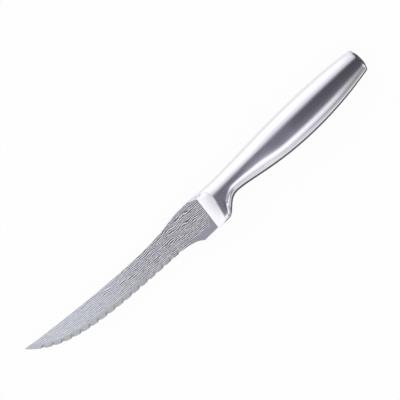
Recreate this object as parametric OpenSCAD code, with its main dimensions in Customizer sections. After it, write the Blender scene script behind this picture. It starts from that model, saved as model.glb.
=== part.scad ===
// Serrated tomato knife with a hollow steel handle.
// It lies on its side: the tip points to -X, the butt to +X, the spine to +Y, the cutting edge to -Y.
// Sizes along the knife run from the ramp foot, the line where the blade leaves the bolster.
// Heights and depths are measured from the handle's axis, towards the spine and the edge.

/* [Blade] */
// Length from the ramp foot to the tip
blade_len = 123; // [100:1:150]
// Thickness of the steel sheet
blade_t = 1.8; // [1.2:0.1:2.4]
// Height of the spine at the heel
spine_height = 11.2; // [9:0.1:13]
// Depth of the flat underside of the heel
heel_depth = 10.8; // [9:0.1:11.2]
// Length of that flat underside
heel_len = 9.6; // [6:0.1:14]
// Length of the straight spine ahead of the ramp foot
shoulder_len = 11.5; // [6:0.1:18]
// Distance from the ramp foot to the lowest place of the spine
waist_dist = 38; // [30:0.5:48]
// Height of the spine there
waist_height = 8.9; // [6:0.1:10]
// Height of the tip
tip_height = 15.9; // [11:0.1:20]

/* [Edge] */
// Distance from the ramp foot to the start of the edge
edge_dist = 23.6; // [20:0.1:28]
// Depth of the edge at its start
edge_depth = 6.2; // [5:0.1:8]
// Rise of the edge for each millimetre, at its start
edge_slope = 0.04; // [0:0.01:0.1]
// Rise of the edge for each millimetre, at the tip
tip_slope = 1.16; // [0.6:0.01:1.5]
// Thickness left at the cutting edge
edge_t = 0.3; // [0.2:0.05:0.5]
// Width of the ground bevel at the start of the edge
bevel_start = 1; // [0.5:0.1:2]
// Width of the ground bevel along the rest
bevel_w = 3.1; // [2:0.1:4]
// Length of edge over which it widens
bevel_run = 29; // [15:1:40]

/* [Serrations] */
// Number of scallops
tooth_count = 17; // [8:1:17]
// Distance from scallop to scallop along the edge
tooth_pitch = 5.8; // [4:0.1:6.2]
// Distance from the start of the edge to the first scallop
tooth_first = 1; // [0.5:0.1:3]
// Depth of a scallop in the outline
tooth_depth = 0.75; // [0.4:0.05:1.1]
// Radius of the grinding wheel's rim
grind_r = 2.4; // [1.8:0.1:3.2]
// Angle between the grinding path and the blade
grind_tilt = 30; // [20:1:45]

/* [Tang] */
// Width of the tang
tang_w = 9; // [6:0.1:9.6]
// Thickness of the tang, ground thinner than the blade so that the heel seats on the bolster
tang_t = 1.6; // [0.8:0.1:2]
// Height of the tang's middle line
tang_height = 3.2; // [2.8:0.1:3.6]
// Distance from the ramp foot to the tang's end
tang_reach = 50; // [35:1:70]
// Clearance round the tang in its slot
tang_gap = 0.05; // [0.02:0.01:0.15]

/* [Bolster] */
// Lean of the ramp foot towards the butt, in degrees
foot_lean = 6.5; // [0:0.5:12]
// Angle between the ramp and the blade
ramp_angle = 35; // [28:1:45]
// Angle between the blade and the steeper part of the ramp, above the guard
steep_angle = 47; // [40:1:55]
// Distance of the steeper part from the ramp foot, at the heel
steep_dist = 0.4; // [0.2:0.1:1.5]
// Lean of the steeper part towards the butt, in degrees
steep_lean = 17.5; // [14:0.5:24]
// Reach of the horn along the spine, ahead of the ramp foot
horn_len = 3.5; // [2:0.1:6]
// Height of the horn at its root
horn_h = 2.6; // [1.5:0.1:4]
// Depth of the guard
guard_depth = 11.5; // [11.3:0.1:14]
// Length of the guard's flat underside
guard_len = 7.5; // [5:0.1:9]
// Thickness across the guard
guard_t = 13; // [11:0.1:14]
// Height of the low place on top of the bolster
saddle_height = 10.35; // [9:0.05:10.9]
// Distance from the ramp foot to that place
saddle_dist = 15; // [10:0.5:20]

/* [Handle] */
// Length from the ramp foot to the end of the butt
handle_len = 120.8; // [110:1:135]
// Distance from the ramp foot to the neck
neck_dist = 21.5; // [19:0.1:23]
// Depth of the neck, where the first finger rests
neck_depth = 4; // [3:0.1:6]
// Thickness across the neck
neck_t = 12.4; // [11:0.1:13.5]
// Distance from the ramp foot to the fullest place of the back and sides
swell_dist = 67; // [55:1:80]
// Height of the back there
swell_height = 11.8; // [11:0.1:14]
// Thickness across the sides there
swell_t = 15.6; // [14:0.1:19]
// Distance from the ramp foot to the lowest place of the belly
belly_dist = 77; // [65:1:90]
// Depth of the belly there
belly_depth = 10.3; // [9:0.1:11.2]
// Height of the back at the butt
butt_height = 8.1; // [6:0.1:9.5]
// Depth of the belly at the butt
butt_depth = 6.1; // [5:0.1:8]
// Thickness across the butt
butt_t = 10.8; // [9:0.1:13]
// Height of the widest line of the section
widest_height = 1; // [0:0.1:1.6]

/* [Shells] */
// Thickness of the pressed sheet
wall = 1.3; // [0.8:0.1:1.6]
// Distance from the ramp foot to the seam between bolster and shells
seam_dist = 23; // [22:0.1:26]
// Length of the bolster's spigot inside the shells
spigot_len = 5; // [3:0.1:8]
// Clearance between a spigot and the shells
spigot_gap = 0.05; // [0.02:0.01:0.15]
// Rounding of the shells' edge at the butt
butt_round = 1.1; // [0.4:0.1:1.4]
// Rise of the domed butt cap
dome_h = 1.2; // [0.8:0.1:2.5]
// Length of the cap's spigot
cap_spigot_len = 3; // [2:0.1:6]

/* [Section shape] */
// Squareness of the upper half of the section, where 2 is an ellipse
top_square = 2.4; // [2:0.1:3]
// Squareness of the lower half at the guard
guard_square = 6; // [3:0.5:8]
// Squareness of the lower half at the neck
neck_square = 2.2; // [2:0.1:3]
// Squareness of the lower half at the belly
belly_square = 3; // [2:0.1:4]

/* [Hidden] */

// How far the slope at each end of a curve carries, as shares of its length
even = [1/3, 1/3];
shoulder_carry = [0.1, 0.52];
spine_carry = [0.33, 0.3];
heel_carry = [0.12, 0.95];
edge_carry = [0.54, 0.16];
back_carry = [0.3, 0.4];
back_end_carry = [0.33, 0.2];
guard_carry = [0.36, 0.48];
neck_carry = [0.17, 0.54];
// Slopes at the ends of the curves that don't end level
spine_end_slope = 0.12;
heel_end_slope = 0.12;
back_end_slope = -0.22;
belly_end_slope = 0.2;

// Segments in each curve, in half a section and round a scallop
curve_steps = 24;
half_steps = 18;
wheel_steps = 48;
// Distance between the rings of a loft, where it bends much and where it bends little
fine_pitch = 1.3;
pitch = 3.6;
// Rings of the dome, as shares of its size, and how flat its middle is
dome_rings = [1, 0.97, 0.9, 0.8, 0.65, 0.45, 0.2];
dome_flatness = 3;
// Stretch of edge that gives its direction
stretch = 1;
// Far enough to cut right through
far = 60;
// How far a cutter starts outside what it cuts
spare = 1.5;

shell_end = handle_len - dome_h;
// The rounding leaves a rim on the sheet
rim_w = 0.2;
end_round = min(butt_round, wall - rim_w);
// Where the ramp foot starts, turns and ends, on the blade's outline
foot_start = [0, -heel_depth];
foot_turn = [(heel_depth + spine_height - horn_h) * tan(foot_lean), spine_height - horn_h];
foot_end = [-horn_len, spine_height];
// The part's origin is below the middle of its box
origin = [(handle_len - blade_len) / 2, (tip_height - guard_depth) / 2, -swell_t / 2];

function bezier(p, t) =
    pow(1 - t, 3) * p[0] + 3 * pow(1 - t, 2) * t * p[1] + 3 * (1 - t) * t * t * p[2] + pow(t, 3) * p[3];

// Smooth curve from a to b, with the slope at each end and how far it carries
function blend(a, b, slopes = [0, 0], carry = even) =
    let (run = b.x - a.x,
         from_a = a + carry[0] * run * [1, slopes[0]],
         to_b = b - carry[1] * run * [1, slopes[1]])
    [for (i = [0 : curve_steps]) bezier([a, from_a, to_b, b], i / curve_steps)];

// Smooth step of a size from v0 at x0 to v1 at x1
function ease(x, x0, x1, v0, v1) =
    let (t = min(max((x - x0) / (x1 - x0), 0), 1))
    v0 + (v1 - v0) * t * t * (3 - 2 * t);

// Places from a to b, about one pitch apart
function span(a, b, pitch) =
    let (steps = ceil((b - a) / pitch))
    [for (i = [0 : steps]) a + (b - a) * i / steps];

// Outline of the handle, seen from the side
back_curve = concat(
    blend([-horn_len - spare, spine_height], [saddle_dist, saddle_height]),
    blend([saddle_dist, saddle_height], [swell_dist, swell_height], carry = back_carry),
    blend([swell_dist, swell_height], [shell_end, butt_height], [0, back_end_slope], back_end_carry));
belly_curve = concat(
    [[-horn_len - spare, -guard_depth]],
    blend([guard_len, -guard_depth], [neck_dist, -neck_depth], carry = guard_carry),
    blend([neck_dist, -neck_depth], [belly_dist, -belly_depth], carry = neck_carry),
    blend([belly_dist, -belly_depth], [shell_end, -butt_depth], [0, belly_end_slope]));

// Half the thickness of the handle at x
function half_t(x) =
    x < neck_dist ? ease(x, guard_len, neck_dist, guard_t, neck_t) / 2
    : x < swell_dist ? ease(x, neck_dist, swell_dist, neck_t, swell_t) / 2
    : (swell_t - (swell_t - butt_t) * pow((x - swell_dist) / (shell_end - swell_dist), 2)) / 2;

function lower_square(x) =
    x < neck_dist ? ease(x, guard_len, neck_dist, guard_square, neck_square)
    : ease(x, neck_dist, swell_dist, neck_square, belly_square);

// Point of the section at x: angle 0 is the spine side, 90 the widest line, 180 the belly side
function rim(x, angle, inset, scale = 1) =
    let (upper = angle < 90,
         reach = upper ? lookup(x, back_curve) - widest_height : widest_height - lookup(x, belly_curve),
         power = 2 / (upper ? top_square : lower_square(x)),
         side = upper ? 1 : -1)
    [x,
     widest_height + scale * side * (reach - inset) * pow(abs(cos(angle)), power),
     scale * (half_t(x) - inset) * pow(sin(angle), power)];

function half_ring(x, inset, scale = 1) =
    [for (i = [0 : half_steps]) rim(x, 180 * i / half_steps, inset, scale)];

function full_ring(x, inset, scale = 1) =
    let (half = half_ring(x, inset, scale))
    concat(half, [for (i = [half_steps - 1 : -1 : 1]) [half[i].x, half[i].y, -half[i].z]]);

// Skin from ring to ring, each with n points
function skin(rings, n) =
    [for (r = [0 : len(rings) - 2], j = [0 : n - 1])
        let (a = r * n + j, b = r * n + (j + 1) % n)
        each [[a, a + n, b + n], [a, b + n, b]]];

module solid_loft(rings) {
    n = len(rings[0]);
    last = (len(rings) - 1) * n;
    ends = [[for (j = [0 : n - 1]) j], [for (j = [n - 1 : -1 : 0]) last + j]];
    polyhedron([for (ring = rings) each ring], concat(skin(rings, n), ends));
}

// Loft of C-shaped rings: each runs along the outside and back along the inside
module shell_loft(rings) {
    n = len(rings[0]);
    last = (len(rings) - 1) * n;
    ends = [for (j = [0 : half_steps - 1])
        let (k = n - 1 - j)
        each [[j, j + 1, k - 1, k], [last + k, last + k - 1, last + j + 1, last + j]]];
    polyhedron([for (ring = rings) each ring], concat(skin(rings, n), ends));
}

module in_place() {
    translate(-origin) children();
}

// Shape of the blade

edge_start = [-edge_dist, -edge_depth];
tip = [-blade_len, tip_height];
edge_curve = blend(edge_start, tip, [-edge_slope, -tip_slope], edge_carry);
spine_curve = concat(
    blend([-shoulder_len, spine_height], [-waist_dist, waist_height], carry = shoulder_carry),
    blend([-waist_dist, waist_height], tip, [0, -spine_end_slope], spine_carry));
heel_curve = blend([-heel_len, -heel_depth], edge_start, [0, -heel_end_slope], heel_carry);

// Distance along the edge to each of its points
edge_run = [for (i = 0, s = 0; i <= curve_steps;
    s = s + norm(edge_curve[min(i + 1, curve_steps)] - edge_curve[i]), i = i + 1) s];

function edge_at(s) =
    [lookup(s, [for (i = [0 : curve_steps]) [edge_run[i], edge_curve[i].x]]),
     lookup(s, [for (i = [0 : curve_steps]) [edge_run[i], edge_curve[i].y]])];

// Direction from the edge into the blade, as an angle
function inward_at(s) =
    let (step = edge_at(s + stretch / 2) - edge_at(s - stretch / 2))
    atan2(-step.x, step.y);

function bevel_at(s) = ease(s, 0, bevel_run, bevel_start, bevel_w);

bevel_curve = [for (i = [0 : curve_steps])
    let (a = inward_at(edge_run[i]))
    edge_curve[i] + bevel_at(edge_run[i]) * [cos(a), sin(a)]];

// Sheet blank: its lower side runs below the edge, where the bevel trims it
module blank() {
    beyond_tip = tip + spare * [-1, spine_end_slope];
    polygon(concat(
        [foot_start, foot_turn, foot_end],
        spine_curve,
        [beyond_tip],
        [for (i = [curve_steps : -1 : 0]) edge_curve[i] - [0, spare]],
        [for (i = [curve_steps : -1 : 0]) heel_curve[i]]));
}

module tang() {
    linear_extrude(tang_t, center = true)
        translate([foot_start.x, tang_height - tang_w / 2]) square([tang_reach, tang_w]);
}

// All that lies inside a curve along the edge
module inside_of(curve) {
    last = curve[curve_steps];
    rise = far / 2;
    polygon(concat(curve, [last + rise * [-1 / tip_slope, 1], [curve[0].x, last.y + rise]]));
}

// What the bevel leaves: it carries on past the faces of the sheet, to cut them cleanly
module wedge() {
    past = 1 + 2 * spare / (blade_t - edge_t);
    outer_curve = [for (i = [0 : curve_steps]) edge_curve[i] + past * (bevel_curve[i] - edge_curve[i])];
    hull() {
        linear_extrude(blade_t + 2 * spare, center = true) inside_of(outer_curve);
        linear_extrude(edge_t, center = true) inside_of(edge_curve);
    }
}

// Path of the grinding wheel for one scallop, on the left face only
module grind(s) {
    p = edge_at(s);
    translate([p.x, p.y, -edge_t / 2])
        rotate([0, 0, inward_at(s)])
            translate([tooth_depth, 0, 0])
                rotate([0, -90 - grind_tilt, 0])
                    translate([grind_r, 0, 0])
                        cylinder(h = 4 * grind_r, r = grind_r, center = true, $fn = wheel_steps);
}

module blade() color([0.72, 0.72, 0.76]) in_place() {
    difference() {
        linear_extrude(blade_t, center = true) blank();
        difference() {
            translate([edge_start.x - blade_len, -far / 2, -far / 2]) cube([blade_len, far, far]);
            wedge();
        }
        for (i = [0 : tooth_count - 1]) grind(tooth_first + i * tooth_pitch);
    }
    tang();
}

// Half space above a ramp that rises in one direction from a point of its foot
module above_ramp(foot, angle, heading) {
    translate([foot.x, foot.y, blade_t / 2])
        rotate([0, -angle, heading])
            translate([-far, -far, 0]) cube([2 * far, 2 * far, far]);
}

module bolster() color([0.82, 0.82, 0.84]) in_place() {
    along_horn = foot_end - foot_turn;
    inner = wall + spigot_gap;
    difference() {
        solid_loft(concat(
            [for (x = span(-horn_len - spare, guard_len, pitch)) full_ring(x, 0)],
            [for (x = span(guard_len, seam_dist, fine_pitch)) if (x > guard_len) full_ring(x, 0)],
            [for (x = span(seam_dist, seam_dist + spigot_len, fine_pitch)) full_ring(x, inner)]));
        linear_extrude(2 * far, center = true)
            polygon([
                foot_start + far * [-tan(foot_lean), -1], foot_turn, foot_end,
                foot_end + [0, far], [-far, far], [-far, -far]]);
        for (side = [0, 1])
            mirror([0, 0, side])
                intersection() {
                    intersection() {
                        above_ramp(foot_start + [steep_dist, 0], steep_angle, -steep_lean);
                        above_ramp(foot_turn, ramp_angle, -foot_lean);
                    }
                    above_ramp(foot_turn, ramp_angle, atan2(-along_horn.x, along_horn.y));
                }
        translate([-far, tang_height - tang_w / 2 - tang_gap, -tang_t / 2 - tang_gap])
            cube([2 * far, tang_w + 2 * tang_gap, tang_t + 2 * tang_gap]);
    }
}

function c_ring(x, inset) =
    let (inside = half_ring(x, wall))
    concat(half_ring(x, inset), [for (i = [half_steps : -1 : 0]) inside[i]]);

// How far the rounded edge at the butt draws the outside in
function edge_inset(x) =
    let (over = max(x - (shell_end - end_round), 0))
    end_round - sqrt(max(end_round * end_round - over * over, 0));

module handle_shell() {
    stations = concat(
        span(seam_dist, swell_dist, pitch),
        [for (x = span(swell_dist, shell_end - end_round, pitch)) if (x > swell_dist) x],
        [for (a = [30 : 30 : 90]) shell_end - end_round * (1 - sin(a))]);
    shell_loft([for (x = stations) c_ring(x, edge_inset(x))]);
}

module handle_shell_left() color([0.80, 0.80, 0.82]) in_place() handle_shell();

module handle_shell_right() color([0.76, 0.76, 0.78]) in_place() mirror([0, 0, 1]) handle_shell();

// Cap over the end of the shells, with a spigot inside them and a shallow dome outside
module butt_cap() color([0.55, 0.55, 0.58]) in_place() {
    inner = wall + spigot_gap;
    solid_loft(concat(
        [for (x = span(shell_end - cap_spigot_len, shell_end, fine_pitch)) full_ring(x, inner)],
        [for (k = dome_rings)
            [for (p = full_ring(shell_end, end_round, k))
                p + [dome_h * (1 - pow(k, dome_flatness)), 0, 0]]]));
}

blade();
bolster();
handle_shell_left();
handle_shell_right();
butt_cap();
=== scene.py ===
# %% [markdown]
# This lesson dresses a slim steel tomato knife: an etched, serrated blade, a ramped bolster and a hollow
# handle. The knife's exact solids are made elsewhere and packed as a fixed frame. The first step is to load
# that frame. Nothing that follows may make the knife bigger.

# %% Load the frame
import math

import bmesh
import bpy
import numpy as np
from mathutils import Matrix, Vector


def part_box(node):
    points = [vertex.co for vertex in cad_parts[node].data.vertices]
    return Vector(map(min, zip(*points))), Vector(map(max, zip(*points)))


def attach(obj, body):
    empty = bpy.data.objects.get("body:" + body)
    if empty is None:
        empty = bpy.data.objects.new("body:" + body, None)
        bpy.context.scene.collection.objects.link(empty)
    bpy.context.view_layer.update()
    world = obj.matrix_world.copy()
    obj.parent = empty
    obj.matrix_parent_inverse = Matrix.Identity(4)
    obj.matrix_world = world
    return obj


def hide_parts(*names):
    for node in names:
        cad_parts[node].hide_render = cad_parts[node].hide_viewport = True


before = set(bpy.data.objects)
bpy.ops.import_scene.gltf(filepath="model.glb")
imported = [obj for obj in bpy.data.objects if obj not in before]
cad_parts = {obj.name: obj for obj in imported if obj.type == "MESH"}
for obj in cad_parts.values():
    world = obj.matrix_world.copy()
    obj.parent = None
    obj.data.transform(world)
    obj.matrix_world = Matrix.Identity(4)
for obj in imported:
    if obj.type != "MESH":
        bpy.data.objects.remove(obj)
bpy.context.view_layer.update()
print("nodes:", sorted(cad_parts))

# %% [markdown]
# The knife lies on its right side with the tip towards -X and the spine towards +Y. Its own drawing
# measures along the knife from the ramp foot, where the blade leaves the bolster, and up from the handle's
# axis, in millimetres. Working in that drawing keeps every size readable, and one function turns its points
# into the frame's metres at the end. The frame gives the tip's place, the blade's mid-plane and how thick
# its sheet is.

# %% The drawing and its place in the frame
MM = 0.001
BLADE_LEN = 123.0
TIP_HEIGHT = 15.9
HANDLE_LEN = 120.8

blade_low, blade_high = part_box("blade")
BLADE_T = (blade_high.z - blade_low.z) / MM
ORIGIN = np.array([
    blade_low.x / MM + BLADE_LEN, blade_high.y / MM - TIP_HEIGHT, (blade_low.z + blade_high.z) / 2 / MM])


def to_frame(points):
    """Points of the drawing, in millimetres, as points of the frame, in metres."""
    return (np.asarray(points, float) + ORIGIN) * MM


print("blade sheet", round(BLADE_T, 2), "mm, drawing's origin at", ORIGIN.round(2))

# %% [markdown]
# A forged or pressed outline is a chain of smooth arcs. One cubic curve from point to point, with a slope
# at each end and a share of its length over which that slope carries, draws all of them.

# %% Smooth curves and steps
EVEN = (1 / 3, 1 / 3)
CURVE_STEPS = 240


def blend(a, b, slopes=(0, 0), carry=EVEN):
    """Smooth curve from a to b, as rows of x and y."""
    a, b = np.array(a, float), np.array(b, float)
    run = b[0] - a[0]
    from_a = a + carry[0] * run * np.array([1, slopes[0]])
    to_b = b - carry[1] * run * np.array([1, slopes[1]])
    t = np.linspace(0, 1, CURVE_STEPS + 1)[:, None]
    return (1 - t)**3 * a + 3 * (1 - t)**2 * t * from_a + 3 * (1 - t) * t**2 * to_b + t**3 * b


def ease(x, x0, x1, v0=0.0, v1=1.0):
    """Smooth step of a size from v0 at x0 to v1 at x1."""
    t = np.clip((np.asarray(x, float) - x0) / (x1 - x0), 0, 1)
    return v0 + (v1 - v0) * t * t * (3 - 2 * t)


def height_of(curve, x):
    """Height of a curve at x."""
    order = np.argsort(curve[:, 0])
    return np.interp(x, curve[order, 0], curve[order, 1])


print("a curve has", CURVE_STEPS, "steps")

# %% [markdown]
# The bolster and the handle are one flowing body with a changing section: squarish under the guard, nearly
# round at the neck where the first finger rests, full at the swell. A superellipse gives that family of
# sections with one number, its squareness, which eases from place to place along the knife.

# %% Outline of the handle
SPINE_HEIGHT, HORN_LEN = 11.2, 3.5
GUARD_DEPTH, GUARD_LEN = 11.5, 7.5
SADDLE = (15.0, 10.35)
NECK_DIST, NECK_DEPTH = 21.5, 4.0
SWELL_DIST, SWELL_HEIGHT = 67.0, 11.8
BELLY = (77.0, -10.3)
BUTT_HEIGHT, BUTT_DEPTH, DOME_H = 8.1, 6.1, 1.2
SHELL_END = HANDLE_LEN - DOME_H
FRONT_SPARE = 1.5
FRONT = -HORN_LEN - FRONT_SPARE
BACK_CARRY, BACK_END_CARRY, BACK_END_SLOPE = (0.3, 0.4), (0.33, 0.2), -0.22
GUARD_CARRY, NECK_CARRY, BELLY_END_SLOPE = (0.36, 0.48), (0.17, 0.54), 0.2

back_curve = np.vstack([
    blend((FRONT, SPINE_HEIGHT), SADDLE),
    blend(SADDLE, (SWELL_DIST, SWELL_HEIGHT), carry=BACK_CARRY),
    blend((SWELL_DIST, SWELL_HEIGHT), (SHELL_END, BUTT_HEIGHT), (0, BACK_END_SLOPE), BACK_END_CARRY)])
belly_curve = np.vstack([
    [[FRONT, -GUARD_DEPTH]],
    blend((GUARD_LEN, -GUARD_DEPTH), (NECK_DIST, -NECK_DEPTH), carry=GUARD_CARRY),
    blend((NECK_DIST, -NECK_DEPTH), BELLY, carry=NECK_CARRY),
    blend(BELLY, (SHELL_END, -BUTT_DEPTH), (0, BELLY_END_SLOPE))])
print("back from", back_curve[0].round(1), "to", back_curve[-1].round(1))

# %% Sections of the handle
GUARD_T, NECK_T, SWELL_T, BUTT_T = 13.0, 12.4, 15.6, 10.8
RISE_DIST, GRIP_DIST, FULL_DIST = 13.0, 39.0, 58.0
CROWN_HEIGHT, NECK_CROWN, GRIP_CROWN = 1.0, 2.0, 2.6
TOP_SQUARE, NECK_TOP_SQUARE, GRIP_TOP_SQUARE = 2.4, 2.15, 2.0
GUARD_SQUARE, RISE_SQUARE, NECK_SQUARE, GRIP_SQUARE, BELLY_SQUARE = 7.5, 3.2, 2.3, 2.5, 3.0


def eased(x, *places):
    """A size that goes smoothly from place to place. Each place is its x and its size."""
    steps = [ease(x, x0, x1, 0, v1 - v0) for (x0, v0), (x1, v1) in zip(places, places[1:])]
    return places[0][1] + sum(steps)


def half_thickness(x):
    """Half the thickness of the body at x."""
    past = np.clip((x - SWELL_DIST) / (SHELL_END - SWELL_DIST), 0, None)
    return eased(x, (GUARD_LEN, GUARD_T), (NECK_DIST, NECK_T), (SWELL_DIST, SWELL_T)) / 2 - (
        (SWELL_T - BUTT_T) / 2 * past**2)


def lower_squareness(x):
    """Squareness of the lower half of the section at x."""
    return eased(x, (GUARD_LEN, GUARD_SQUARE), (RISE_DIST, RISE_SQUARE), (NECK_DIST, NECK_SQUARE),
                 (GRIP_DIST, GRIP_SQUARE), (FULL_DIST, BELLY_SQUARE))


def upper_squareness(x):
    """Squareness of the upper half of the section at x."""
    return eased(x, (GUARD_LEN, TOP_SQUARE), (NECK_DIST, NECK_TOP_SQUARE), (GRIP_DIST, GRIP_TOP_SQUARE),
                 (FULL_DIST, TOP_SQUARE))


def crown(x):
    """Height of the section's widest place at x. It is highest where the handle starts to swell."""
    return eased(x, (GUARD_LEN, CROWN_HEIGHT), (NECK_DIST, NECK_CROWN), (GRIP_DIST, GRIP_CROWN),
                 (FULL_DIST, CROWN_HEIGHT))


def rim(x, angle, inset=0.0, scale=1.0):
    """Points of the section at x. Angle 0 is the spine side, a half turn the belly side."""
    upper = angle < math.pi / 2
    reach = np.where(upper, height_of(back_curve, x) - crown(x), crown(x) - height_of(belly_curve, x))
    power = 2 / np.where(upper, upper_squareness(x), lower_squareness(x))
    side = np.where(upper, 1, -1)
    y = crown(x) + scale * side * (reach - inset) * np.abs(np.cos(angle))**power
    z = scale * (half_thickness(x) - inset) * np.clip(np.sin(angle), 0, 1)**power
    return np.stack([np.broadcast_to(x, y.shape), y, z], axis=-1)


print("at the swell the knife is", round(float(2 * half_thickness(SWELL_DIST)), 1), "mm thick")

# %% [markdown]
# Rings of points for a mesh have to be evenly spaced along the section, or the shading shows the uneven
# faces. So each section is first drawn with very many angles, and the ring's points are then taken from it
# at even steps.

# %% Rings of points
DENSE_ANGLES = np.linspace(0, math.pi, 1801)


def resample(line, count, crowding=0.0):
    """The same line as count steps: even ones, or with crowding shorter ones towards both ends."""
    run = np.concatenate([[0], np.cumsum(np.linalg.norm(np.diff(line, axis=0), axis=1))])
    share = np.linspace(0, 1, count + 1)
    places = run[-1] * (share - crowding * np.sin(2 * math.pi * share) / (2 * math.pi))
    return np.stack([np.interp(places, run, line[:, k]) for k in range(3)], axis=1)


def half_ring(x, count, inset=0.0, scale=1.0):
    """Left half of the section at x, from the spine side to the belly side."""
    return resample(rim(np.full_like(DENSE_ANGLES, x), DENSE_ANGLES, inset, scale), count)


print("each ring is taken from", len(DENSE_ANGLES), "places on its section")

# %% [markdown]
# Every piece of this knife is a skin stretched over rows of points, so one helper turns a grid of points
# into a mesh. Faces are shaded smooth, and edges that turn by more than a set angle stay sharp, as on metal
# that was ground flat and then broken with a stone.

# %% Mesh helpers
SHARP_ANGLE = math.radians(38)
SAME_POINT = 2e-7


def grid_faces(rows, columns, closed):
    """Quads between neighbouring rows of points. A closed row joins its last point to its first."""
    faces = []
    for r in range(rows - 1):
        for c in range(columns if closed else columns - 1):
            a, b = r * columns + c, r * columns + (c + 1) % columns
            faces.append((a, a + columns, b + columns, b))
    return faces


def make_piece(name, node, points, faces, material, values=None):
    """A mesh piece in the frame that stands for one packed solid and rides with it.

    values holds named numbers, one for each point, that its material reads."""
    mesh = bpy.data.meshes.new(name)
    mesh.from_pydata(to_frame(points).tolist(), [], faces)
    for title, numbers in (values or {}).items():
        mesh.attributes.new(title, "FLOAT", "POINT").data.foreach_set("value", numbers)
    work = bmesh.new()
    work.from_mesh(mesh)
    bmesh.ops.remove_doubles(work, verts=work.verts, dist=SAME_POINT)
    bmesh.ops.recalc_face_normals(work, faces=work.faces)
    work.to_mesh(mesh)
    work.free()
    mesh.shade_smooth()
    mesh.set_sharp_from_angle(angle=SHARP_ANGLE)
    piece = bpy.data.objects.new(name, mesh)
    bpy.context.scene.collection.objects.link(piece)
    mesh.materials.append(material)
    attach(piece, "root")
    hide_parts(node)
    print(name, "has", len(mesh.vertices), "points and", len(mesh.polygons), "faces")


print("edges that turn by more than", round(math.degrees(SHARP_ANGLE)), "degrees stay sharp")

# %% [markdown]
# A finish is a small network of shader nodes. Written as plain expressions it stays readable, so one class
# wraps a socket and turns arithmetic on it into Math nodes, and another adds any other node from its type,
# its settings and what goes into its sockets.

# %% Values on a surface
class Value:
    """A number that varies over the surface. Arithmetic on it adds Math nodes."""

    def __init__(self, sheet, socket):
        self.sheet, self.socket = sheet, socket

    def math(self, operation, *others):
        """What a Math node makes of this value and the others."""
        return self.sheet.add("ShaderNodeMath", {"operation": operation}, dict(enumerate((self, *others))))

    def __add__(self, other):
        return self.math("ADD", other)

    def __sub__(self, other):
        return self.math("SUBTRACT", other)

    def __rsub__(self, other):
        return self.math("MULTIPLY", -1).math("ADD", other)

    def __mul__(self, other):
        return self.math("MULTIPLY", other)

    __radd__, __rmul__ = __add__, __mul__

    def between(self, low, high):
        """0 below low, 1 above high and smooth in between."""
        inputs = {"Value": self, "From Min": low, "From Max": high}
        return self.sheet.add("ShaderNodeMapRange", {"interpolation_type": "SMOOTHSTEP"}, inputs)

    def out(self, name):
        """Another output of the same node."""
        return Value(self.sheet, self.socket.node.outputs[name])


print("surface values know", sorted(name for name in vars(Value) if not name.startswith("_")))


# %% Node sheets
class Sheet:
    """The node tree of one material or of the world."""

    def __init__(self, owner):
        owner.use_nodes = True
        self.tree = owner.node_tree
        self.tree.nodes.clear()

    def add(self, kind, settings=None, inputs=None):
        """Adds a node: its type, its settings, then the values or links of its sockets."""
        node = self.tree.nodes.new(kind)
        for name, value in (settings or {}).items():
            if name == "stops":
                self.set_stops(node.color_ramp, value)
            else:
                setattr(node, name, value)
        for name, value in (inputs or {}).items():
            if isinstance(value, Value):
                self.tree.links.new(value.socket, node.inputs[name])
            else:
                node.inputs[name].default_value = value
        return Value(self, next((o for o in node.outputs if o.enabled), None)) if node.outputs else node

    def set_stops(self, ramp, stops):
        """Gives a colour ramp its places and their shades of grey."""
        while len(ramp.elements) < len(stops):
            ramp.elements.new(1.0)
        for element, (place, shade) in zip(ramp.elements, stops):
            element.position = place
            element.color = (shade, shade, shade, 1.0)

    def mix_colors(self, share, a, b):
        """Colour a where share is 0, and b where it is 1."""
        mixed = self.add("ShaderNodeMix", {"data_type": "RGBA"}, {0: share, 6: a, 7: b})
        return Value(self, mixed.socket.node.outputs[2])


print("shader helpers ready")

# %% [markdown]
# Satin stainless steel is a metal with a blurred mirror. Its colour is a pale grey that leans to blue, and
# what tells satin from chrome is the fine brushing: hair-thin grooves that run one way. A noise stretched
# along the grooves gives them, as a slight bump, and a slow, faint noise stands for handling marks.

# %% Satin steel
MARKS_SCALE, MARKS_DETAIL, MARKS_ROUGHNESS = 60.0, 3.0, 0.08
GROOVE_DETAIL, GROOVE_BORDER, GROOVE_SHADE = 2.0, (0.3, 0.7), 0.93
GROOVE_ROUGHNESS, GROOVE_BUMP, GROOVE_DEPTH = 0.06, 0.08, 0.00002
STEEL = (0.735, 0.73, 0.79)


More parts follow.
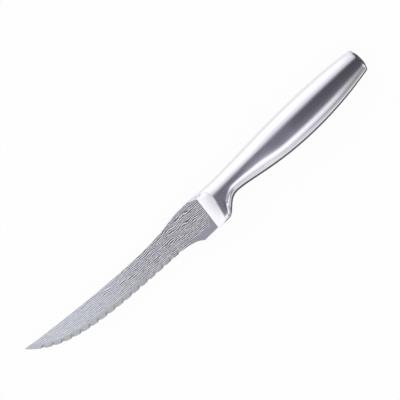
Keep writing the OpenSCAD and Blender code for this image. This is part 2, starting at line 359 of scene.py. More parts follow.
def satin_steel(name, color, roughness, groove_scale):
    """Brushed steel. groove_scale is how many grooves cross a metre along each axis."""
    material = bpy.data.materials.new(name)
    sheet = Sheet(material)
    place = sheet.add("ShaderNodeTexCoord").out("Object")
    stretched = sheet.add("ShaderNodeVectorMath", {"operation": "MULTIPLY"}, {0: place, 1: groove_scale})
    grooves = sheet.add("ShaderNodeTexNoise", {}, {
        "Vector": stretched, "Scale": 1.0, "Detail": GROOVE_DETAIL})
    marks = sheet.add("ShaderNodeTexNoise", {}, {
        "Vector": place, "Scale": MARKS_SCALE, "Detail": MARKS_DETAIL})
    darker = tuple(GROOVE_SHADE * c for c in color) + (1.0,)
    tint = sheet.mix_colors(grooves.between(*GROOVE_BORDER), darker, color + (1.0,))
    varied = (marks - 0.5) * MARKS_ROUGHNESS + roughness + (grooves - 0.5) * GROOVE_ROUGHNESS
    bump = sheet.add("ShaderNodeBump", {}, {
        "Strength": GROOVE_BUMP, "Distance": GROOVE_DEPTH, "Height": grooves})
    steel = sheet.add("ShaderNodeBsdfPrincipled", {}, {
        "Base Color": tint, "Metallic": 1.0, "Roughness": varied, "Normal": bump})
    sheet.add("ShaderNodeOutputMaterial", {}, {"Surface": steel})
    print(name, "made")
    return material


handle_steel = satin_steel("satin_handle_steel", STEEL, roughness=0.14, groove_scale=(30, 5000, 5000))
bolster_steel = satin_steel("satin_bolster_steel", STEEL, roughness=0.15, groove_scale=(60, 5000, 5000))

# %% [markdown]
# The handle is two pressed halves of sheet, welded along the back and the belly and ground flush. Each is
# an outer skin, an inner skin one wall further in, and a narrow rounded end at the butt. Rings of points
# along the knife, each a C that runs out along the outside and back along the inside, make one closed half.

# %% Handle shells
WALL, SEAM_DIST, BUTT_ROUND = 1.3, 23.0, 1.1
SHELL_PITCH, SHELL_STEPS, END_STEPS = 1.0, 72, 8


def edge_inset(x):
    """How far the rounded end at the butt draws the outside in."""
    over = max(x - (SHELL_END - BUTT_ROUND), 0)
    return BUTT_ROUND - math.sqrt(max(BUTT_ROUND**2 - over**2, 0))


def shell_stations():
    """Places of a shell's rings, from the seam with the bolster to the rounded end at the butt."""
    straight = np.linspace(SEAM_DIST, SHELL_END - BUTT_ROUND, round((SHELL_END - SEAM_DIST) / SHELL_PITCH))
    turns = np.sin(np.linspace(0, math.pi / 2, END_STEPS + 1))[1:]
    return np.concatenate([straight, SHELL_END - BUTT_ROUND * (1 - turns)])


def handle_shell(side, name, node):
    """One half of the handle: side is 1 for the left half and -1 for the right."""
    rings = []
    for x in shell_stations():
        inside = half_ring(x, SHELL_STEPS, WALL)
        rings.append(np.vstack([half_ring(x, SHELL_STEPS, edge_inset(x)), inside[::-1]]))
    columns = len(rings[0])
    faces = grid_faces(len(rings), columns, closed=True)
    last = (len(rings) - 1) * columns
    for j in range(SHELL_STEPS):
        k = columns - 1 - j
        faces += [(j, j + 1, k - 1, k), (last + k, last + k - 1, last + j + 1, last + j)]
    if side < 0:
        faces = [face[::-1] for face in faces]
    points = np.vstack(rings) * [1, 1, side]
    make_piece(name, node, points, faces, handle_steel)


handle_shell(1, "handle_shell_left_satin", "handle_shell_left")
handle_shell(-1, "handle_shell_right_satin", "handle_shell_right")

# %% [markdown]
# The bolster carries the eye from the thick handle to the thin blade. On each face a flat ramp falls to the
# blade, and where it turns up along the spine it becomes a small horn. A ramp can be cut with a plane, but
# a ground ramp has soft borders, so the height of the body is taken as the smooth lower of two heights: the
# body's own section and the ramp's rise above its foot.

# %% Ramp of the bolster
HEEL_DEPTH, HORN_H = 10.8, 2.6
FOOT_LEAN = math.tan(math.radians(6.5))
RAMP_SLOPE, RAMP_SLOPE_LOW = math.tan(math.radians(34.5)), math.tan(math.radians(43.5))
RAMP_TWIST = (10.0, -11.0)
FOOT_TURN = np.array([(HEEL_DEPTH + SPINE_HEIGHT - HORN_H) * FOOT_LEAN, SPINE_HEIGHT - HORN_H])
FOOT_END = np.array([-HORN_LEN, SPINE_HEIGHT])
FOOT_FILLET, RIDGE_SOFTNESS = 0.3, 0.3
SIDE_DEPTH, END_CROWDING, STRAIGHT_SHARE = 1.5, 0.65, 0.8
LEAN_TRIES = 8


def foot_x(y):
    """Where the ramp's foot is at height y."""
    horn = FOOT_TURN[0] + (y - FOOT_TURN[1]) * (FOOT_END[0] - FOOT_TURN[0]) / HORN_H
    return np.where(y < FOOT_TURN[1], (y + HEEL_DEPTH) * FOOT_LEAN, horn)


def ramp_height(x, y):
    """Height of the ramp above the blade's mid-plane."""
    lean = math.atan(FOOT_LEAN)
    from_foot = (x - (y + HEEL_DEPTH) * FOOT_LEAN) * math.cos(lean)
    along = FOOT_END - FOOT_TURN
    outward = np.array([along[1], -along[0]]) / np.linalg.norm(along)
    from_horn = (x - FOOT_TURN[0]) * outward[0] + (y - FOOT_TURN[1]) * outward[1]
    away = np.hypot(np.clip(from_foot, 0, None), np.clip(from_horn, 0, None))
    slope = ease(y, *RAMP_TWIST, RAMP_SLOPE, RAMP_SLOPE_LOW)
    return BLADE_T / 2 + slope * (np.hypot(away, FOOT_FILLET) - FOOT_FILLET)


def soft_lower(a, b, softness):
    """The lower of two heights, with a rounded ridge where they cross."""
    return (a + b - np.hypot(a - b, softness)) / 2


def bolster_ring(t, count):
    """Left half of the bolster's row t, from 0 at the ramp's foot to 1 at the seam with the handle."""
    start, straight = SEAM_DIST * t, ease(t, 0, STRAIGHT_SHARE)
    x = np.full_like(DENSE_ANGLES, start)
    for _ in range(LEAN_TRIES):
        y = rim(x, DENSE_ANGLES)[:, 1]
        x = start + foot_x(y) * (1 - straight)
    ring = rim(x, DENSE_ANGLES)
    softness = RIDGE_SOFTNESS * np.clip(ring[:, 2] / SIDE_DEPTH, 0, 1)
    ring[:, 2] = soft_lower(ring[:, 2], ramp_height(ring[:, 0], ring[:, 1]), softness)
    return resample(ring, count, END_CROWDING)


print("ramp turns at", FOOT_TURN.round(2))

# %% [markdown]
# The bolster is one solid piece, so it is a stack of closed rings. The first follows the ramp's foot, the
# next ones straighten out towards the seam, and the last few are the spigot that reaches into the handle.

# %% Bolster
SPIGOT_LEN, SPIGOT_GAP = 5.0, 0.05
BOLSTER_ROWS, BOLSTER_STEPS, SPIGOT_RINGS = 120, 160, 4


def both_halves(half):
    """A closed ring from its left half."""
    return np.vstack([half, half[-2:0:-1] * [1, 1, -1]])


def capped(rings):
    """Faces of closed rings in a row, with both ends closed by strips from the left to the right half."""
    columns = len(rings[0])
    faces = grid_faces(len(rings), columns, closed=True)
    last = (len(rings) - 1) * columns
    for j in range(columns // 2):
        strip = dict.fromkeys([j, j + 1, columns - j - 1, (columns - j) % columns])
        faces += [tuple(strip), tuple(last + i for i in reversed(strip))]
    return faces


def bolster():
    """The bolster with its spigot."""
    rows = np.linspace(0, 1, BOLSTER_ROWS + 1)
    rings = [both_halves(bolster_ring(t, BOLSTER_STEPS)) for t in rows]
    inner = WALL + SPIGOT_GAP
    for x in np.linspace(SEAM_DIST, SEAM_DIST + SPIGOT_LEN, SPIGOT_RINGS):
        rings.append(both_halves(half_ring(x, BOLSTER_STEPS, inner)))
    make_piece(
        "bolster_satin", "bolster", np.vstack(rings), capped(rings), bolster_steel)


bolster()

# %% [markdown]
# A shallow dome closes the butt. It seats on a spigot inside the shells, and a fine groove runs round it
# where its edge meets their rounded end. The dome is a stack of rings that shrink towards its middle.

# %% Butt cap
CAP_SPIGOT_LEN, DOME_FLATNESS = 3.0, 3
CAP_STEPS, DOME_RINGS = 72, 26
# The cap's steel is painted a darker grey than the handle's, as painted shade at the butt.
CAP_SHADED_STEEL = (0.62, 0.615, 0.66)
cap_steel = satin_steel("satin_cap_steel", CAP_SHADED_STEEL, roughness=0.12, groove_scale=(3000, 900, 900))


def butt_cap():
    """The cap: its spigot, then rings that shrink towards the top of the dome."""
    inner = WALL + SPIGOT_GAP
    rings = [both_halves(half_ring(x, CAP_STEPS, inner)) for x in (SHELL_END - CAP_SPIGOT_LEN, SHELL_END)]
    base = both_halves(half_ring(SHELL_END, CAP_STEPS, BUTT_ROUND))
    for k in np.cos(np.linspace(0, math.pi / 2, DOME_RINGS + 1))[:-1]:
        ring = (base - [0, CROWN_HEIGHT, 0]) * [1, k, k] + [0, CROWN_HEIGHT, 0]
        rings.append(ring + [DOME_H * (1 - k**DOME_FLATNESS), 0, 0])
    make_piece(
        "butt_cap_satin", "butt_cap", np.vstack(rings), capped(rings), cap_steel)


butt_cap()

# %% [markdown]
# The blade is a thin sheet, so it is easiest to think of it as a map: at each place it has a left face and
# a right face. The bevel planes both down to the edge, and a grinding wheel then cuts the scallops from the
# left. Where the left face would fall below the right one there is no steel, and that border is the
# serrated edge. Once the spine is inside the bolster's horn it drops a little, so that it stays hidden.

# %% Outline of the blade
HEEL_LEN, SHOULDER_LEN = 9.6, 11.5
TUCK_DEPTH, TUCK_LEN = 0.3, 1.0
WAIST = (-38.0, 8.9)
EDGE_START = (-23.6, -6.2)
TIP = (-BLADE_LEN, TIP_HEIGHT)
EDGE_T, BEVEL_START, BEVEL_W, BEVEL_RUN = 0.3, 1.0, 3.1, 29.0
TOOTH_COUNT, TOOTH_PITCH, TOOTH_FIRST, TOOTH_DEPTH = 17, 5.8, 1.0, 0.75
GRIND_R, GRIND_TILT = 2.4, math.radians(30)
EDGE_SLOPE, TIP_SLOPE, EDGE_CARRY = -0.04, -1.16, (0.54, 0.16)
SHOULDER_CARRY, SPINE_CARRY, SPINE_END_SLOPE = (0.1, 0.52), (0.33, 0.3), -0.12
HEEL_CARRY, HEEL_END_SLOPE = (0.12, 0.95), -0.12
NEAREST_TRIES = 4

edge_curve = blend(EDGE_START, TIP, (EDGE_SLOPE, TIP_SLOPE), EDGE_CARRY)
spine_curve = np.vstack([
    blend((-SHOULDER_LEN, SPINE_HEIGHT), WAIST, carry=SHOULDER_CARRY),
    blend(WAIST, TIP, (0, SPINE_END_SLOPE), SPINE_CARRY)])
heel_curve = blend((-HEEL_LEN, -HEEL_DEPTH), EDGE_START, (0, HEEL_END_SLOPE), HEEL_CARRY)
lower_curve = np.vstack([[(FOOT_TURN[0], -HEEL_DEPTH)], heel_curve, edge_curve])
tuck = [(FOOT_TURN[0], SPINE_HEIGHT - TUCK_DEPTH), (TUCK_LEN - HORN_LEN, SPINE_HEIGHT - TUCK_DEPTH),
        (-HORN_LEN, SPINE_HEIGHT)]
upper_curve = np.vstack([tuck, spine_curve])

edge_steps = np.diff(edge_curve, axis=0)
edge_run = np.concatenate([[0], np.cumsum(np.linalg.norm(edge_steps, axis=1))])
edge_along = np.gradient(edge_curve, edge_run, axis=0)


def seen_from_edge(x, y):
    """Distance along the edge to the nearest place on it, and the distance inward from there."""
    along = np.interp(-x, -edge_curve[:, 0], edge_run)
    for _ in range(NEAREST_TRIES):
        foot = np.stack([np.interp(along, edge_run, edge_curve[:, k]) for k in (0, 1)], axis=-1)
        step = np.stack([np.interp(along, edge_run, edge_along[:, k]) for k in (0, 1)], axis=-1)
        offset = np.stack([x, y], axis=-1) - foot
        along = along + (offset * step).sum(axis=-1)
    return along, offset[..., 1] * -step[..., 0] + offset[..., 0] * step[..., 1]


print("edge is", round(edge_run[-1], 1), "mm long")

# %% Faces of the blade
RUNOUT = 2.5
NO_WHEEL = 10.0
HALVINGS, SHALLOWEST = 30, 1e-3


def bevel_face(along, inward):
    """Height of the bevelled face above the mid-plane."""
    width = ease(along, 0, BEVEL_RUN, BEVEL_START, BEVEL_W)
    ground = EDGE_T / 2 + (BLADE_T - EDGE_T) / 2 * np.clip(inward / width, 0, 1)
    return ground + (BLADE_T / 2 - ground) * ease(along, 0, -RUNOUT)


def wheel_face(along, inward):
    """Height left by the grinding wheel in the scallops, or far above the blade outside them."""
    number = np.clip(np.round((along - TOOTH_FIRST) / TOOTH_PITCH), 0, TOOTH_COUNT - 1)
    across = along - (TOOTH_FIRST + number * TOOTH_PITCH)
    chord = np.sqrt(np.clip(GRIND_R**2 - across**2, 0, None))
    rise = (GRIND_R - chord + (inward - TOOTH_DEPTH) * math.sin(GRIND_TILT)) / math.cos(GRIND_TILT)
    return np.where(np.abs(across) < GRIND_R, rise - EDGE_T / 2, NO_WHEEL)


def notch(x):
    """How far the scallops draw the edge in at x."""
    low = height_of(lower_curve, x)
    near, far = np.zeros_like(x), np.full_like(x, TOOTH_DEPTH * 2)
    for _ in range(HALVINGS):
        middle = (near + far) / 2
        along, inward = seen_from_edge(x, low + middle)
        empty = wheel_face(along, inward) < -bevel_face(along, inward)
        near, far = np.where(empty, middle, near), np.where(empty, far, middle)
    return np.where(x < EDGE_START[0] + GRIND_R, far * (far > SHALLOWEST), 0.0)


print("scallops reach", round(float(notch(np.linspace(-60, -50, 200)).max()), 2), "mm into the outline")

# %% [markdown]
# Cutting 17 scallops out of a sheet with booleans would leave long thin faces that shade badly. A grid of
# points follows them better. Its columns are close enough together to draw each scallop, its rows crowd
# towards the ground edge and the spine, and near the heel both lean with the ramp's foot.

# %% Grid of the blade
COLUMN_PITCH, HEEL_PITCH = 0.2, 0.5
BEFORE_EDGE, COARSE_LEN = 3, 20
EDGE_ROWS = np.array([
    0, 0.1, 0.2, 0.3, 0.42, 0.55, 0.7, 0.85, 1.0, 1.15, 1.3, 1.5, 1.7, 1.9, 2.15, 2.4, 2.65, 2.9,
    3.1, 3.3, 3.6])
FIELD_ROWS = 22
SPINE_ROWS = np.array([0.3, 0.16, 0.1, 0.04, 0])
SPINE_ROUND, SPINE_SOFTEN = 0.15, 0.8
FULL_HEIGHT = 8.0
UNDER_RAMP, LEAN_RUN, GRID_TRIES = 0.1, 9.0, 6


def blade_columns():
    """Places of the columns of points, from the ramp's foot to just short of the tip."""
    heel = np.arange(UNDER_RAMP, EDGE_START[0] + BEFORE_EDGE, -HEEL_PITCH)
    count = round((BLADE_LEN - COARSE_LEN) / COLUMN_PITCH)
    edge = np.linspace(heel[-1] - HEEL_PITCH, TIP[0] + COLUMN_PITCH, count)
    return np.concatenate([heel, edge])


def grid_rows(low, high, cut):
    """Heights of a column's points: close together at the edge and at the spine."""
    size = np.clip((high - low) / FULL_HEIGHT, 0, 1)
    near_edge = low + EDGE_ROWS * size + cut * (1 - ease(EDGE_ROWS, 0, EDGE_ROWS[-1]))
    near_spine = high - SPINE_ROWS * size
    share = np.linspace(0, 1, FIELD_ROWS + 2)[1:-1]
    field = near_edge[:, -1:] + (near_spine[:, :1] - near_edge[:, -1:]) * share
    return np.hstack([near_edge, field, near_spine])


def blade_maps():
    """Places, left heights and right heights of the sheet's points, and their depths below the spine."""
    start = blade_columns()[:, None]
    cut = notch(start[:, 0])[:, None]
    x = start
    for _ in range(GRID_TRIES):
        low, high = height_of(lower_curve, x), height_of(upper_curve, x)
        y = grid_rows(low[:, :1], high[:, -1:], cut)
        x = start + (y + HEEL_DEPTH) * FOOT_LEAN * ease(start, -LEAN_RUN, 0)
    along, inward = seen_from_edge(x, y)
    below_spine = high[:, -1:] - y
    to_border = np.where(start > EDGE_START[0], np.minimum(below_spine, y - low[:, :1]), below_spine)
    corner = np.clip(SPINE_ROUND - to_border, 0, SPINE_ROUND)
    softened = SPINE_ROUND - np.sqrt(SPINE_ROUND**2 - corner**2)
    right = -(bevel_face(along, inward) - softened * SPINE_SOFTEN)
    left = np.maximum(np.minimum(-right, wheel_face(along, inward)), right)
    return x, y, left, right, below_spine


blade_x, blade_y, blade_left, blade_right, below_spine = blade_maps()
print("blade grid", blade_x.shape)

# %% [markdown]
# The faces carry a traditional pattern of etched lines, like layered steel, that stops short of the ground
# edge and of the heel. How far each point lies inside the etched field is worked out here, in millimetres,
# and kept on the mesh, so that the finish can fade the pattern out exactly where the real one stops.

# %% Etched field
FIELD_FLOOR = np.array([
    (-123, 12.5), (-112, 8.2), (-104, 5.6), (-96, 3.9), (-90.5, 2.5), (-82.2, 1.4),
    (-76.7, 0.3), (-71.2, -0.3), (-65.7, -1.1), (-60.2, -1.5), (-54.2, -2.2), (-49.2, -3.0),
    (-43.7, -4.0), (-35.5, -5.4), (-26, -6.0), (-14.6, -6.3), (-1.8, -7.4), (5, -8)])
FIELD_BACK = np.array([(-12, -2.5), (-5.7, -1.5), (-3.1, 0.3), (-0.2, 1.3), (12, 3)])
SPINE_MARGIN = 0.3
GROUND_DEPTH, HOLLOW_BORDER = 0.04, 0.03

field_floor = np.interp(blade_x, FIELD_FLOOR[:, 0], FIELD_FLOOR[:, 1])
field_back = np.interp(blade_y, FIELD_BACK[:, 0], FIELD_BACK[:, 1])
field_depth = np.minimum(blade_y - field_floor, field_back - blade_x)
spine_depth = below_spine - SPINE_MARGIN
on_edge = seen_from_edge(blade_x, blade_y)
bevelled = ease(bevel_face(*on_edge), BLADE_T / 2, BLADE_T / 2 - GROUND_DEPTH)
hollowed = ease(wheel_face(*on_edge) - bevel_face(*on_edge), HOLLOW_BORDER, -HOLLOW_BORDER)
print("etched field is up to", round(float(field_depth.max()), 1), "mm from its border")

# %% [markdown]
# The etched lines are level curves, as on a map of low hills: bands of even height that run nearly straight
# where the hills are flat and curl into eyes where a hill rises. Acid leaves the pale layers matt and the
# dark ones a little lower, so the same bands drive the colour, the roughness and a very slight bump.
# Towards the bolster the pattern is painted darker, with more and darker dark layers, as painted shade.
# Each noise has a size, as waves to the millimetre along and across the blade, a place of its own in the
# noise, and its detail.

# %% Sizes and shades of the etching
LINE_PITCH, LINE_RISE = 0.9, 0.09
HILL_NOISE, HILLS, HILLS_INSIDE = ((0.17, 0.30), 3.7, 1.0), 2.8, (1.5, 9.0)
RIPPLE_NOISE, RIPPLES = ((0.3, 0.8), 8.2, 2.0), 0.7
WIDTH_NOISE, WIDTHS = ((0.5, 0.9), 1.3, 1.0), 1.4
GRAIN_NOISE, GRAIN_ROUGHNESS, GRAIN_HEIGHT = ((0.6, 24.0), 5.1, 2.0), 0.08, 0.3
# Towards the bolster fewer pale layers and darker dark layers are painted in, as painted shade.
PALE_SHARE, PALE_LOSS, BAND_BORDER = 0.35, 0.45, 0.55
TO_BOLSTER, SHADE_TOWARDS_BOLSTER = (-99, -11), (-93.5, -33)
SPINE_BORDER, FIELD_BORDER, GROUND_COVER = (-0.3, 0.5), (-0.1, 0.3), 0.7
ETCHED_ROUGH, LINE_ROUGH, PLAIN_ROUGH, GROUND_ROUGH, HOLLOW_ROUGH = 0.40, 0.08, 0.27, 0.12, 0.25
ETCH_BUMP, ETCH_DEPTH = 0.25, 0.00003
PALE, PALE_HEEL = (0.90, 0.925, 1.0, 1.0), (0.97, 0.955, 1.0, 1.0)
DARK, SHADED_DARK = (0.50, 0.51, 0.56, 1.0), (0.22, 0.22, 0.25, 1.0)
PLAIN = (0.72, 0.71, 0.77, 1.0)
GROUND, GROUND_HEEL = (0.455, 0.465, 0.50, 1.0), (0.335, 0.34, 0.355, 1.0)
# The hollows of the scallops are painted a darker grey than plain steel, as painted shade.
HOLLOW_SHADE, HOLLOW_SHADE_HEEL = (0.43, 0.43, 0.45, 1.0), (0.56, 0.56, 0.59, 1.0)
print("etched lines are", LINE_PITCH, "mm apart")


# %% Etched steel
def etched_steel(name):
    """The blade's steel: etched lines inside the field, and plain ground steel around it."""
    material = bpy.data.materials.new(name)
    sheet = Sheet(material)
    place = sheet.add("ShaderNodeTexCoord").out("Object")
    axes = sheet.add("ShaderNodeSeparateXYZ", {}, {0: place})
    depth, spine_depth, bevelled, hollowed = [
        sheet.add("ShaderNodeAttribute", {"attribute_name": title}).out("Fac")
        for title in ("field_depth", "spine_depth", "bevelled", "hollowed")]
    across, up = axes.out("X") * (1 / MM), axes.out("Y") * (1 / MM)

    def noise(size, spot, detail):
        """Noise that rises and falls around 0."""
        point = sheet.add("ShaderNodeCombineXYZ", {}, {0: across * size[0], 1: up * size[1], 2: spot})
        return sheet.add("ShaderNodeTexNoise", {}, {"Vector": point, "Scale": 1.0, "Detail": detail}) - 0.5

    # Painted shade: the etching darkens towards the bolster, with fewer pale layers and darker dark ones.
    to_bolster, painted_shade_to_bolster = across.between(*TO_BOLSTER), across.between(*SHADE_TOWARDS_BOLSTER)
    hills = noise(*HILL_NOISE) * HILLS * depth.between(*HILLS_INSIDE)
    level = (up + across * LINE_RISE) * (1 / LINE_PITCH) + hills + noise(*RIPPLE_NOISE) * RIPPLES
    wave = (level * (2 * math.pi)).math("SINE") + noise(*WIDTH_NOISE) * WIDTHS
    bands = (wave + PALE_SHARE - to_bolster * PALE_LOSS).between(-BAND_BORDER, BAND_BORDER)
    lines = 1 - (1 - bands) * spine_depth.between(*SPINE_BORDER)
    inside = depth.between(*FIELD_BORDER)
    grain = noise(*GRAIN_NOISE)
    pale = sheet.mix_colors(to_bolster, PALE, PALE_HEEL)
    etched = sheet.mix_colors(lines, sheet.mix_colors(painted_shade_to_bolster, DARK, SHADED_DARK), pale)
    ground = sheet.mix_colors(to_bolster, GROUND, GROUND_HEEL)
    patterned = sheet.mix_colors(bevelled * GROUND_COVER, etched, ground)
    # Painted shade in the hollows of the scallops.
    hollow_shade = sheet.mix_colors(to_bolster, HOLLOW_SHADE, HOLLOW_SHADE_HEEL)
    plain = sheet.mix_colors(hollowed, sheet.mix_colors(bevelled, PLAIN, ground), hollow_shade)
    tint = sheet.mix_colors(inside * (1 - hollowed), plain, patterned)
    field_rough = (lines * LINE_ROUGH + ETCHED_ROUGH) * inside
    border_rough = (bevelled * GROUND_ROUGH + PLAIN_ROUGH) * (1 - inside)
    rough = field_rough + border_rough + grain * GRAIN_ROUGHNESS + hollowed * HOLLOW_ROUGH
    height = lines * inside + grain * GRAIN_HEIGHT
    bump = sheet.add("ShaderNodeBump", {}, {
        "Strength": ETCH_BUMP, "Distance": ETCH_DEPTH, "Height": height})
    steel = sheet.add("ShaderNodeBsdfPrincipled", {}, {
        "Base Color": tint, "Metallic": 1.0, "Roughness": rough, "Normal": bump})
    sheet.add("ShaderNodeOutputMaterial", {}, {"Surface": steel})
    print(name, "made")
    return material


blade_steel = etched_steel("etched_blade_steel")

# %% [markdown]
# The blade is closed by a narrow border between its two faces, and the hidden tang is a flat bar behind it.
# Only the left face is hollowed by the scallops, so the right face gets none of the hollows' painted shade.

# %% Blade
TANG_W, TANG_T, TANG_HEIGHT, TANG_START, TANG_REACH = 9.0, 1.6, 3.2, 0.5, 50.0


def tang():
    """Points and faces of the flat bar that runs from the blade into the handle."""
    ends = [(x, TANG_HEIGHT + u * TANG_W / 2, s * TANG_T / 2)
            for x in (TANG_START, TANG_REACH) for u, s in ((-1, -1), (1, -1), (1, 1), (-1, 1))]
    faces = [(0, 1, 2, 3), (7, 6, 5, 4)] + [(i, i + 4, (i + 1) % 4 + 4, (i + 1) % 4) for i in range(4)]
    return np.array(ends), faces


def blade():
    """The blade: both faces, the border between them and the tang."""
    rows, columns = blade_x.shape
    count = rows * columns
    left = np.stack([blade_x, blade_y, blade_left], axis=-1).reshape(-1, 3)
    right = np.stack([blade_x, blade_y, blade_right], axis=-1).reshape(-1, 3)
    faces = grid_faces(rows, columns, closed=False)
    faces += [tuple(count + i for i in face[::-1]) for face in faces]
    ring = list(range(columns))
    ring += [r * columns + columns - 1 for r in range(1, rows)]
    ring += [(rows - 1) * columns + c for c in range(columns - 2, -1, -1)]
    ring += [r * columns for r in range(rows - 2, 0, -1)]
    faces += [(a, b, count + b, count + a) for a, b in zip(ring, ring[1:] + ring[:1])]
    bar, bar_faces = tang()
    faces += [tuple(2 * count + i for i in face) for face in bar_faces]
    marks = {
        "field_depth": field_depth, "spine_depth": spine_depth, "bevelled": bevelled, "hollowed": hollowed}
    sides = {"hollowed": (1, 0)}
    values = {
        title: np.concatenate([s * mark.ravel() for s in sides.get(title, (1, 1))] + [np.zeros(len(bar))])
        for title, mark in marks.items()}
    make_piece(
        "blade_etched", "blade", np.vstack([left, right, bar]), faces, blade_steel,
        values=values)


blade()

# %% [markdown]
# The knife is shown from straight above, as in a catalogue, with its tip to the lower left. The camera
# hangs over the knife, turned about its own line of sight, far enough away that the perspective is gentle.

# %% Camera
CAMERA_SPOT = (0.00445, 0.00473)
CAMERA_HEIGHT, CAMERA_TURN, LENS = 0.6189, math.radians(-44.4), 100

camera = bpy.data.objects.new("camera", bpy.data.cameras.new("camera"))
bpy.context.scene.collection.objects.link(camera)
camera.data.lens = LENS
camera.location = (*CAMERA_SPOT, CAMERA_HEIGHT)
camera.rotation_euler = (0, 0, CAMERA_TURN)
bpy.context.scene.camera = camera
print("camera hangs", CAMERA_HEIGHT, "m above the floor")

# %% [markdown]
# Polished metal shows its surroundings, so the studio is the real finish of this knife. A light tent has
# bright walls and a darker opening above, where the camera looks in. That opening gives the handle its dark
# middle band, and the walls its pale shoulders. The world does the same: its brightness depends only on the
# direction that a reflected ray takes. Each wall is a list of places across the knife, up to 1 at the side,
# with its brightness there, and its fade says how that changes from the tip's side, -1, to the butt's side,
# 1. The opening's own list runs along the knife, and OPENING_HALF ends it towards both walls. Rays from the
# camera itself see plain white.

# %% Brightness of the tent
FULL = 2.0
WHITE = (1, 1, 1, 1)
OPENING = [
    (-1.0, 1.4), (-0.75, 1.4), (-0.55, 0.6), (-0.16, 0.7), (-0.11, 0.57), (-0.06, 0.27), (-0.03, 0.19),
    (0.0, 0.205), (0.035, 0.19), (0.075, 0.27), (0.12, 0.115), (0.2, 0.125), (0.3, 0.095), (1.0, 0.03)]
OPENING_HALF = [(0.13, 1), (0.32, 0)]
SPINE_WALL = [
    (0.10, 0), (0.15, 0.03), (0.229, 0.30), (0.29, 0.62), (0.365, 0.95), (0.44, 1.08), (0.53, 1.18),
    (0.6, 1.3), (0.67, 1.45), (1.0, 1.5)]
BELLY_WALL = [
    (0, 0), (0.05, 0.04), (0.10, 0.075), (0.153, 0.115), (0.208, 0.23), (0.26, 0.52), (0.325, 1.05),
    (0.407, 1.5), (0.5, 1.55), (0.588, 1.25), (0.70, 0.75), (0.78, 0.1), (0.83, 0)]
BELLY_EAVES = [(0.5, 0), (0.6, 0.05), (0.70, 0.3), (0.78, 0.5), (0.84, 0.6), (0.90, 0.25), (0.95, 0)]
BELLY_LOW = [(0.84, 0), (0.93, 0.85), (1.0, 0.85)]
BELLY_FADE = [
    (-1, 0.8), (-0.25, 0.85), (-0.16, 1.0), (0.03, 1.0), (0.12, 0.9), (0.21, 0.76), (0.26, 0.7),
    (0.30, 0.48), (0.33, 0.31), (0.37, 0.25), (0.41, 0.15), (0.45, 1.0), (0.5, 1.2), (0.6, 0.9),
    (0.85, 0.25)]
EAVES_FADE = [
    (-1, 0.6), (-0.65, 0.8), (-0.48, 1.85), (-0.3, 1.9), (-0.1, 1.4), (0.03, 1.4), (0.12, 1.0),
    (0.3, 0.66), (0.55, 0.7), (0.85, 0.25)]
LOW_FADE = [
    (-1, 0.6), (-0.65, 0.8), (-0.48, 1.4), (-0.3, 1.5), (-0.1, 1.0), (0.12, 1.0), (0.3, 0.68),
    (0.55, 0.7), (0.85, 0.25)]
SPINE_FADE = [(-1, 1.0), (0.33, 1.0), (0.38, 0.75), (0.7, 0.03)]
OPENING_TINT, TINTED = (0.97, 0.95, 1.10, 1), (-0.5, -0.1)
print("the belly wall is at most", max(light for _, light in BELLY_WALL), "bright")


# %% Studio tent
def studio_tent(world):
    """Lights the world by the direction that a ray takes."""
    sheet = Sheet(world)
    toward = sheet.add("ShaderNodeSeparateXYZ", {}, {0: sheet.add("ShaderNodeTexCoord").out("Generated")})
    butt_side, spine_side = toward.out("X"), toward.out("Y")

    def profile(along, stops):
        """Brightness that follows stops from -1 to 1 along a direction."""
        places = [((place + 1) / 2, light / FULL) for place, light in stops]
        return sheet.add("ShaderNodeValToRGB", {"stops": places}, {"Fac": along * 0.5 + 0.5}) * FULL

    gap = profile(spine_side.math("ABSOLUTE"), OPENING_HALF)
    opening = profile(butt_side, OPENING) * gap
    spine_wall = profile(spine_side, SPINE_WALL) * profile(butt_side, SPINE_FADE)
    belly_side = spine_side * -1
    belly_wall = profile(belly_side, BELLY_WALL) * profile(butt_side, BELLY_FADE)
    belly_eaves = profile(belly_side, BELLY_EAVES) * profile(butt_side, EAVES_FADE)
    belly_low = profile(belly_side, BELLY_LOW) * profile(butt_side, LOW_FADE)
    light = opening + spine_wall + belly_wall + belly_eaves + belly_low
    seen = sheet.add("ShaderNodeLightPath").out("Is Camera Ray")
    strength = light + seen * (1 - light)
    cool = gap * (1 - seen) * butt_side.between(*TINTED)
    tint = sheet.mix_colors(cool, WHITE, OPENING_TINT)
    background = sheet.add("ShaderNodeBackground", {}, {"Color": tint, "Strength": strength})
    sheet.add("ShaderNodeOutputWorld", {}, {"Surface": background})


world = bpy.data.worlds.new("tent")
bpy.context.scene.world = world
studio_tent(world)
bpy.context.scene.view_settings.view_transform = "Standard"
print("tent lit")
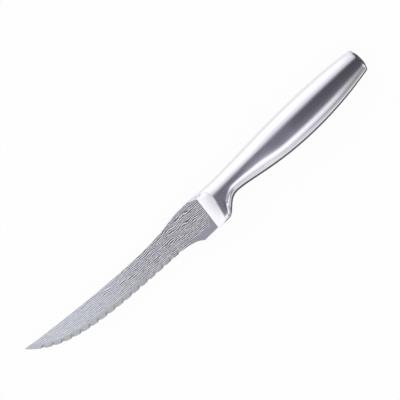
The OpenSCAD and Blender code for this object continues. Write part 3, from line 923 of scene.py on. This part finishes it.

# %% [markdown]
# The table under the knife is white paper. To the camera it is almost pure white but keeps the faint shadow
# of the knife, so its material mixes a plain white glow with a matt surface. Photographers draw the rim of
# bright metal with a dark card laid beside it, just out of sight. Here there is no card: darker patches are
# painted on the paper, along the belly and behind the butt, as painted shade that only rays coming off the
# metal see, so the metal shows painted dark reflections there. Each patch is its span along the knife, its
# span across, the width of its soft border and how dark it is.

# %% Paper floor
FLOOR_HALF = 3.0
GLOW_SHARE, MIRRORED = 0.95, (1.15, 1.15, 1.15, 1)
# The patches' colour is painted shade, seen only in the metal's reflections.
PAPER, PATCH_SHADE = (0.97, 0.97, 0.97, 1), (0.12, 0.12, 0.12, 1)
SHADE_PATCHES = [
    ((-0.02, 0.16), (-0.045, -0.004), 0.012, 0.95),
    ((0.126, 0.25), (-0.05, 0.015), 0.004, 1.0),
    ((0.085, 0.122), (0.0, 0.012), 0.006, 0.25)]


def paper():
    """White paper that glows for the camera, with patches of painted shade that only the metal sees."""
    material = bpy.data.materials.new("white_paper")
    sheet = Sheet(material)
    axes = sheet.add("ShaderNodeSeparateXYZ", {}, {0: sheet.add("ShaderNodeTexCoord").out("Object")})

    def within(axis, span, soft):
        """1 inside a span of an axis, fading to 0 over a soft border."""
        return axis.between(span[0] - soft, span[0]) * (1 - axis.between(span[1], span[1] + soft))

    patch_shade = 0
    for along, up, soft, strength in SHADE_PATCHES:
        patch = within(axes.out("X"), along, soft) * within(axes.out("Y"), up, soft) * strength
        patch_shade = patch.math("MAXIMUM", patch_shade)
    path = sheet.add("ShaderNodeLightPath")
    glossy = path.out("Is Glossy Ray")
    matt = sheet.add("ShaderNodeBsdfDiffuse", {}, {"Color": sheet.mix_colors(patch_shade * glossy, PAPER, PATCH_SHADE)})
    glow_color = sheet.mix_colors(glossy, WHITE, MIRRORED)
    glow = sheet.add("ShaderNodeEmission", {}, {"Color": glow_color, "Strength": 1.0})
    share = path.out("Is Camera Ray") * GLOW_SHARE + glossy * (1 - patch_shade)
    mixed = sheet.add("ShaderNodeMixShader", {}, {0: share, 1: matt, 2: glow})
    sheet.add("ShaderNodeOutputMaterial", {}, {"Surface": mixed})
    return material


floor_mesh = bpy.data.meshes.new("paper")
corners = [(sx * FLOOR_HALF, sy * FLOOR_HALF, 0) for sx, sy in ((-1, -1), (1, -1), (1, 1), (-1, 1))]
floor_mesh.from_pydata(corners, [], [(0, 1, 2, 3)])
floor_mesh.materials.append(paper())
floor = bpy.data.objects.new("paper_floor", floor_mesh)
bpy.context.scene.collection.objects.link(floor)
print("paper laid")

# %% [markdown]
